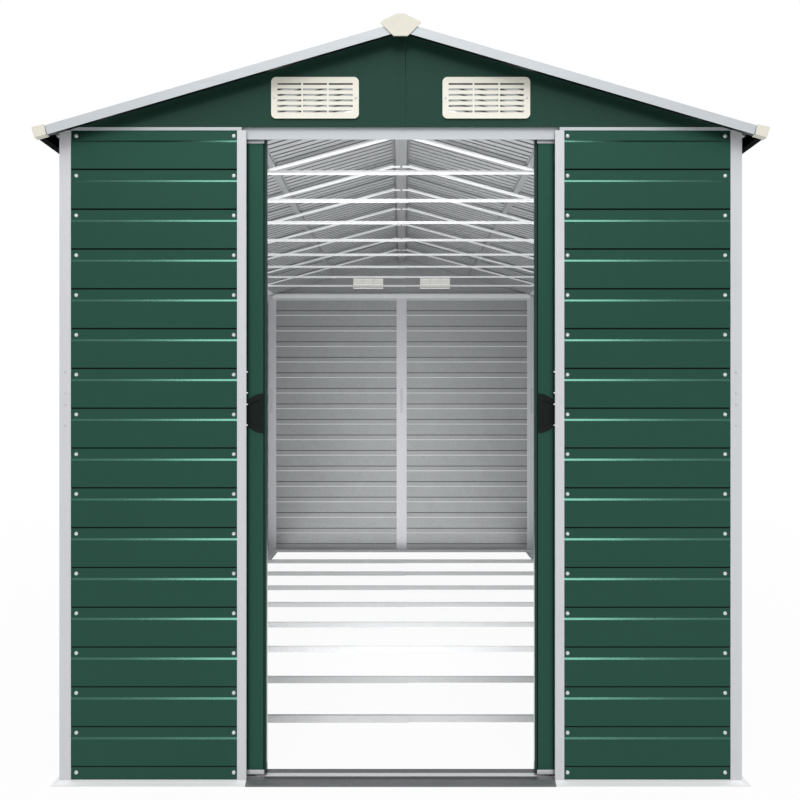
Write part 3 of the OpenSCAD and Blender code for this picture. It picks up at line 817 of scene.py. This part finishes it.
@dataclass
class Posts(SubAssembly):
    """Corner posts, jambs and posts between panels, with the bolts at their joints."""

    hardware: Hardware
    splice: float = 1.013
    bolt_rows: tuple[float, ...] = (-0.070, -0.015, 0.015, 0.070)
    corner_w: float = 0.030
    jamb_depth: float = 0.0035

    def dress(self) -> None:
        """Gives the posts their pale coat."""
        dress(
            self.palette.pale_upright, "corner_posts_left", "corner_posts_right",
            "door_jamb_left", "door_jamb_right", "wall_posts",
        )
        dress(self.palette.zinc, "post_splices")

    def build(self) -> None:
        """Bolts the two lengths of each post together."""
        heights = [self.splice + row for row in self.bolt_rows]
        low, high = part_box("corner_posts_left")[0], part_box("corner_posts_right")[1]
        middle = self.corner_w / 2
        faces = []
        for x, side in ((low.x, Side.LEFT), (high.x, Side.RIGHT)):
            for y, end in ((low.y, Side.FRONT), (high.y, Side.BACK)):
                faces.append((Vector((x, y - end.out.y * middle, 0)), side.out))
                faces.append((Vector((x - side.out.x * middle, y, 0)), end.out))
        places = [place(at + Vector((0, 0, z)), out) for at, out in faces for z in heights]
        bolts = Piece("post_bolts").stamp(self.hardware.small_bolt, places)
        bolts.finish(self.palette.zinc, "zinc_steel")
        tips = []
        for node, side in (("door_jamb_left", Side.RIGHT), ("door_jamb_right", Side.LEFT)):
            near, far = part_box(node)
            edge = far.x if side is Side.RIGHT else near.x
            tips += [place(Vector((edge, near.y + self.jamb_depth, z)), side.out) for z in heights]
        ends = Piece("jamb_bolt_tips").stamp(self.hardware.bolt_tip, tips)
        ends.finish(self.palette.plated, "zinc_steel")


@dataclass
class BaseFrame(SubAssembly):
    """Base rails, floor bars, sill and guide."""

    def dress(self) -> None:
        """Gives the rails their coat and leaves the bars, sill and guide galvanised."""
        dress(self.palette.pale_base, *(f"base_rail_{side.label}" for side in Side.ends() + Side.hands()))
        dress(self.palette.bright_zinc, "floor_bars")
        dress(self.palette.dull_zinc, "door_sill", "door_guide")


@dataclass
class Gables(SubAssembly):
    """Gable sheets and the vents in them."""

    hardware: Hardware
    rim_middle: float = 0.008
    vent_w: float = 0.230

    def dress(self) -> None:
        """Paints the gables on their outer faces."""
        dress(self.palette.green_gable[Side.FRONT], "gable_front_left", "gable_front_right")
        dress(self.palette.green_gable[Side.BACK], "gable_back_left", "gable_back_right")
        dress(self.palette.vent_cream, "vents")

    def build(self) -> None:
        """Screws each vent at the middle of its left and right rim."""
        low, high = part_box("vents")
        height = (low.z + high.z) / 2
        outer = high.x - self.rim_middle
        inner = high.x - self.vent_w + self.rim_middle
        places = [
            place(Vector((x, y, height)), side.out)
            for y, side in ((low.y, Side.FRONT), (high.y, Side.BACK))
            for x in (-outer, -inner, inner, outer)
        ]
        screws = Piece("vent_screws").stamp(self.hardware.small_bolt, places)
        screws.finish(self.palette.zinc, "zinc_steel")


@dataclass
class RoofFrame(SubAssembly):
    """Track, rails, ties, rafters, ridge beam and purlins."""

    hardware: Hardware
    trusses: int = 8
    bar: float = 0.027
    bolt_step: float = 0.012

    def dress(self) -> None:
        """Gives the track its coat and leaves the rest galvanised."""
        dress(self.palette.pale_track, "door_track")
        dress(self.palette.bright_zinc, "back_rail", "eave_rails")
        dress(self.palette.tie_zinc, "truss_ties", "rafters")
        dress(self.palette.grey_zinc, "ridge_beam", "purlins")

    def build(self) -> None:
        """Bolts the two halves of each tie together where they lap."""
        low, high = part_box("truss_ties")
        first, last = low.y + self.bar / 2, high.y - self.bar / 2
        pitch = (last - first) / (self.trusses - 1)
        places = [
            place(Vector((x, first + i * pitch, low.z)), Side.DOWN.out)
            for i in range(self.trusses) for x in (-self.bolt_step, self.bolt_step)
        ]
        bolts = Piece("tie_bolts").stamp(self.hardware.hex_head, places)
        bolts.finish(self.palette.plated, "zinc_steel")


@dataclass
class RoofCovering(SubAssembly):
    """Ribbed sheets, ridge capping, fascias, eave trims and their plastic caps."""

    hardware: Hardware
    rise: float = 0.2615
    half_width: float = 0.897
    ridge: float = 1.974
    slope: float = 0.950
    ribs: int = 86
    ribs_per_sheet: int = 17
    rib_edge: float = 0.011
    rib_top: float = 0.0063
    sheet_lift: float = 0.00254
    trim_top: float = 0.01024
    capping_line: float = 0.047
    trim_inset: float = 0.010
    screw_every: int = 4

    def dress(self) -> None:
        """Paints the sheets on top and gives the trim and caps their finish."""
        dress(self.palette.green_roof, "roof_sheets_left", "roof_sheets_right")
        dress(self.palette.green_trim, "ridge_capping", "eave_trims")
        dress(self.palette.cream, "ridge_end_caps", "eave_end_caps")
        dress(self.palette.pale_underside_shadow, "fascias")

    def build(self) -> None:
        """Screws the sheets down along the ridge capping, the purlins and the eave trims."""
        low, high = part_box("roof_sheets_right")
        first, last = low.y + self.rib_edge, high.y - self.rib_edge
        pitch = (last - first) / (self.ribs - 1)
        for side in Side.hands():
            hand = side.out.x
            places = []
            for i in range(2, self.ribs, self.screw_every):
                lift = i // self.ribs_per_sheet % 2 * self.sheet_lift
                y = first + i * pitch
                places.append(self._on_slope(hand, self.capping_line, y, self.trim_top))
                places.append(self._on_slope(hand, self.slope / 2, y, self.rib_top + lift))
                places.append(self._on_slope(hand, self.slope - self.trim_inset, y, self.trim_top))
            screws = Piece(f"roof_screws_{side.label}").stamp(self.hardware.washer_screw, places)
            screws.finish(self.palette.plated, "zinc_steel")

    def _on_slope(self, hand: float, down: float, y: float, above: float) -> Matrix:
        """Finds a place on the roof.

        Args:
            hand: -1 on the left slope and 1 on the right one.
            down: Distance down the slope from the ridge.
            y: Distance along the shed.
            above: Height square to the underside of the sheets.

        Returns:
            The matrix of a screw that stands there.
        """
        angle = math.atan2(self.rise, self.half_width)
        out = Vector((hand * math.sin(angle), 0, math.cos(angle)))
        fall = Vector((hand * math.cos(angle), 0, -math.sin(angle)))
        return place(Vector((0, y, self.ridge)) + down * fall + above * out, out)


@dataclass
class SlidingDoor(SubAssembly):
    """One of the two doors."""

    hand: Side
    # A dark strip in the rebate of the closing edge: painted shade.
    strip_w: float = 0.0056
    strip_d: float = 0.0025
    strip_gap: float = 0.0002
    strip_round: float = 0.3

    @property
    def body(self) -> str:
        """Name of the door's body, with which the names of its pieces begin."""
        return f"{self.hand.label}_door"

    def dress(self) -> None:
        """Paints the leaf and gives its rails, pull and runners their finish."""
        dress(self.palette.green[Side.FRONT], f"{self.body}_leaf")
        dress(self.palette.pale_bright, f"{self.body}_rails")
        dress(self.palette.black, f"{self.body}_pull", f"{self.body}_runners")

    def build(self) -> None:
        """Lays a dark strip in the rebate of the closing edge, as painted shade where the edge turns away
        from the light.
        """
        low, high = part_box(f"{self.body}_leaf")
        inwards = -self.hand.out.x
        edge = high.x if inwards > 0 else low.x
        middle = Vector((
            edge - inwards * (self.strip_gap + self.strip_w / 2), low.y + self.strip_gap + self.strip_d / 2,
            (low.z + high.z) / 2,
        ))
        piece = Piece(f"{self.body}_seal")
        size = Matrix.Diagonal((self.strip_w, self.strip_d, high.z - low.z, 1.0))
        bmesh.ops.create_cube(piece.shape, size=1.0, matrix=Matrix.Translation(middle) @ size)
        upright = [e for e in piece.shape.edges if abs(e.verts[0].co.z - e.verts[1].co.z) > self.strip_w]
        bmesh.ops.bevel(
            piece.shape, geom=upright, offset=self.strip_d * self.strip_round, affect="EDGES", segments=2,
            profile=0.5, material=-1,
        )
        piece.finish(self.palette.seal, "black_plastic", self.body)


@dataclass(frozen=True)
class Softbox:
    """A soft lamp of the studio."""

    name: str
    at: Point
    aim: Point
    size: tuple[float, float]
    glow: float

    def build(self) -> None:
        """Hangs the lamp; a glow of 1 makes its face as bright as white paper in plain light."""
        width, length = self.size
        lamp = bpy.data.lights.new(self.name, "AREA")
        lamp.shape = "RECTANGLE"
        lamp.size, lamp.size_y = width, length
        lamp.energy = self.glow * math.pi * width * length
        holder = bpy.data.objects.new(self.name, lamp)
        beam = Vector(self.aim) - Vector(self.at)
        holder.matrix_world = place(Vector(self.at), -beam)
        holder.visible_camera = False
        bpy.context.scene.collection.objects.link(holder)


@dataclass
class Studio:
    """Floor, backdrop, lamps and camera."""

    WHITE = shade(255, 255, 255)
    PAPER = (0.8, 0.8, 0.8, 1.0)

    lens: float = 41.01
    sensor: float = 36.0
    eye: Point = (0.004, -4.270, 1.006)
    shift: tuple[float, float] = (-0.00275, 0.0016)
    ambient: float = 0.42
    floor_size: float = 40.0
    floor_white: float = 0.94
    floor_near: float = 3.0
    floor_far: float = 6.0
    lamps: tuple[Softbox, ...] = (
        Softbox("key_softbox", (0.0, -14.2, 16.8), (0.0, -1.875, 1.0), (11.0, 14.0), 5.6),
        Softbox("left_softbox", (-7.0, 0.0, 5.0), (-0.9, 0.0, 1.0), (5.0, 4.0), 2.0),
        Softbox("right_softbox", (7.0, 0.0, 5.0), (0.9, 0.0, 1.0), (5.0, 4.0), 2.0),
        Softbox("back_softbox", (0.0, 8.0, 6.0), (0.0, 1.9, 1.0), (5.0, 4.0), 3.0),
        Softbox("doorway_glow", (0.0, -1.4, 0.8), (0.0, 0.65, 1.75), (0.8, 1.4), 4.6),
        Softbox("room_bounce", (0.0, 0.0, 0.03), (0.0, 0.0, 1.0), (1.6, 3.6), 1.0),
    )

    def build(self) -> None:
        """Sets the whole studio up."""
        bpy.context.scene.view_settings.view_transform = "Standard"
        self._world()
        self._floor()
        for lamp in self.lamps:
            lamp.build()
        self._camera()

    def _background(self, graph: Graph) -> Signal:
        """1 on rays that show the background itself, to the eye or in a gloss."""
        path = graph.add("ShaderNodeLightPath")
        eye, gloss, glass = (
            Signal(graph, path.outputs[f"Is {kind} Ray"]) for kind in ("Camera", "Glossy", "Transmission")
        )
        return eye.either(gloss).either(glass)

    def _world(self) -> None:
        """Makes a white world that lights the shed at a plain level."""
        world = bpy.data.worlds.new("studio_world")
        world.use_nodes = True
        bpy.context.scene.world = world
        graph = Graph(world.node_tree)
        level = self._background(graph) * (1.0 - self.ambient) + self.ambient
        light = graph.add("ShaderNodeBackground", {}, {"Color": self.WHITE, "Strength": level})
        graph.add("ShaderNodeOutputWorld", {}, {"Surface": light.outputs[0]})

    def _floor(self) -> None:
        """Makes the pale floor, which shows white and keeps a soft shadow."""
        shape = bmesh.new()
        bmesh.ops.create_grid(shape, x_segments=1, y_segments=1, size=self.floor_size / 2)
        material, graph = new_material("pale_floor")
        away = (graph.distance() - self.floor_near) * (1.0 / (self.floor_far - self.floor_near))
        share = away.either(0.0).kept_under(1.0) * (1.0 - self.floor_white) + self.floor_white
        matte = graph.add("ShaderNodeBsdfDiffuse", {}, {"Color": self.PAPER})
        white = graph.add("ShaderNodeEmission", {}, {"Color": self.WHITE, "Strength": 1.0})
        both = graph.add(
            "ShaderNodeMixShader", {},
            {0: self._background(graph) * share, 1: matte.outputs[0], 2: white.outputs[0]},
        )
        graph.add("ShaderNodeOutputMaterial", {}, {"Surface": both.outputs[0]})
        floor = show(as_mesh(shape, "floor"), material)

    def _camera(self) -> None:
        """Stands a level camera before the doorway."""
        data = bpy.data.cameras.new("camera")
        data.lens = self.lens
        data.sensor_width = self.sensor
        data.shift_x, data.shift_y = self.shift
        camera = bpy.data.objects.new("camera", data)
        camera.location = self.eye
        camera.rotation_euler = (math.pi / 2, 0.0, 0.0)
        bpy.context.scene.collection.objects.link(camera)
        bpy.context.scene.camera = camera


def main() -> None:
    """Dresses the shed and sets up the studio."""
    logging.basicConfig(level=logging.INFO, format="%(name)s: %(message)s")
    palette = Palette()
    hardware = Hardware()
    assemblies: list[SubAssembly] = [
        BaseFrame(palette), Posts(palette, hardware), Cladding(palette, hardware),
        Gables(palette, hardware), RoofFrame(palette, hardware), RoofCovering(palette, hardware),
        *(SlidingDoor(palette, hand) for hand in Side.hands()),
    ]
    for assembly in assemblies:
        assembly.dress()
        assembly.build()
    Studio().build()


if __name__ == "__main__":
    main()
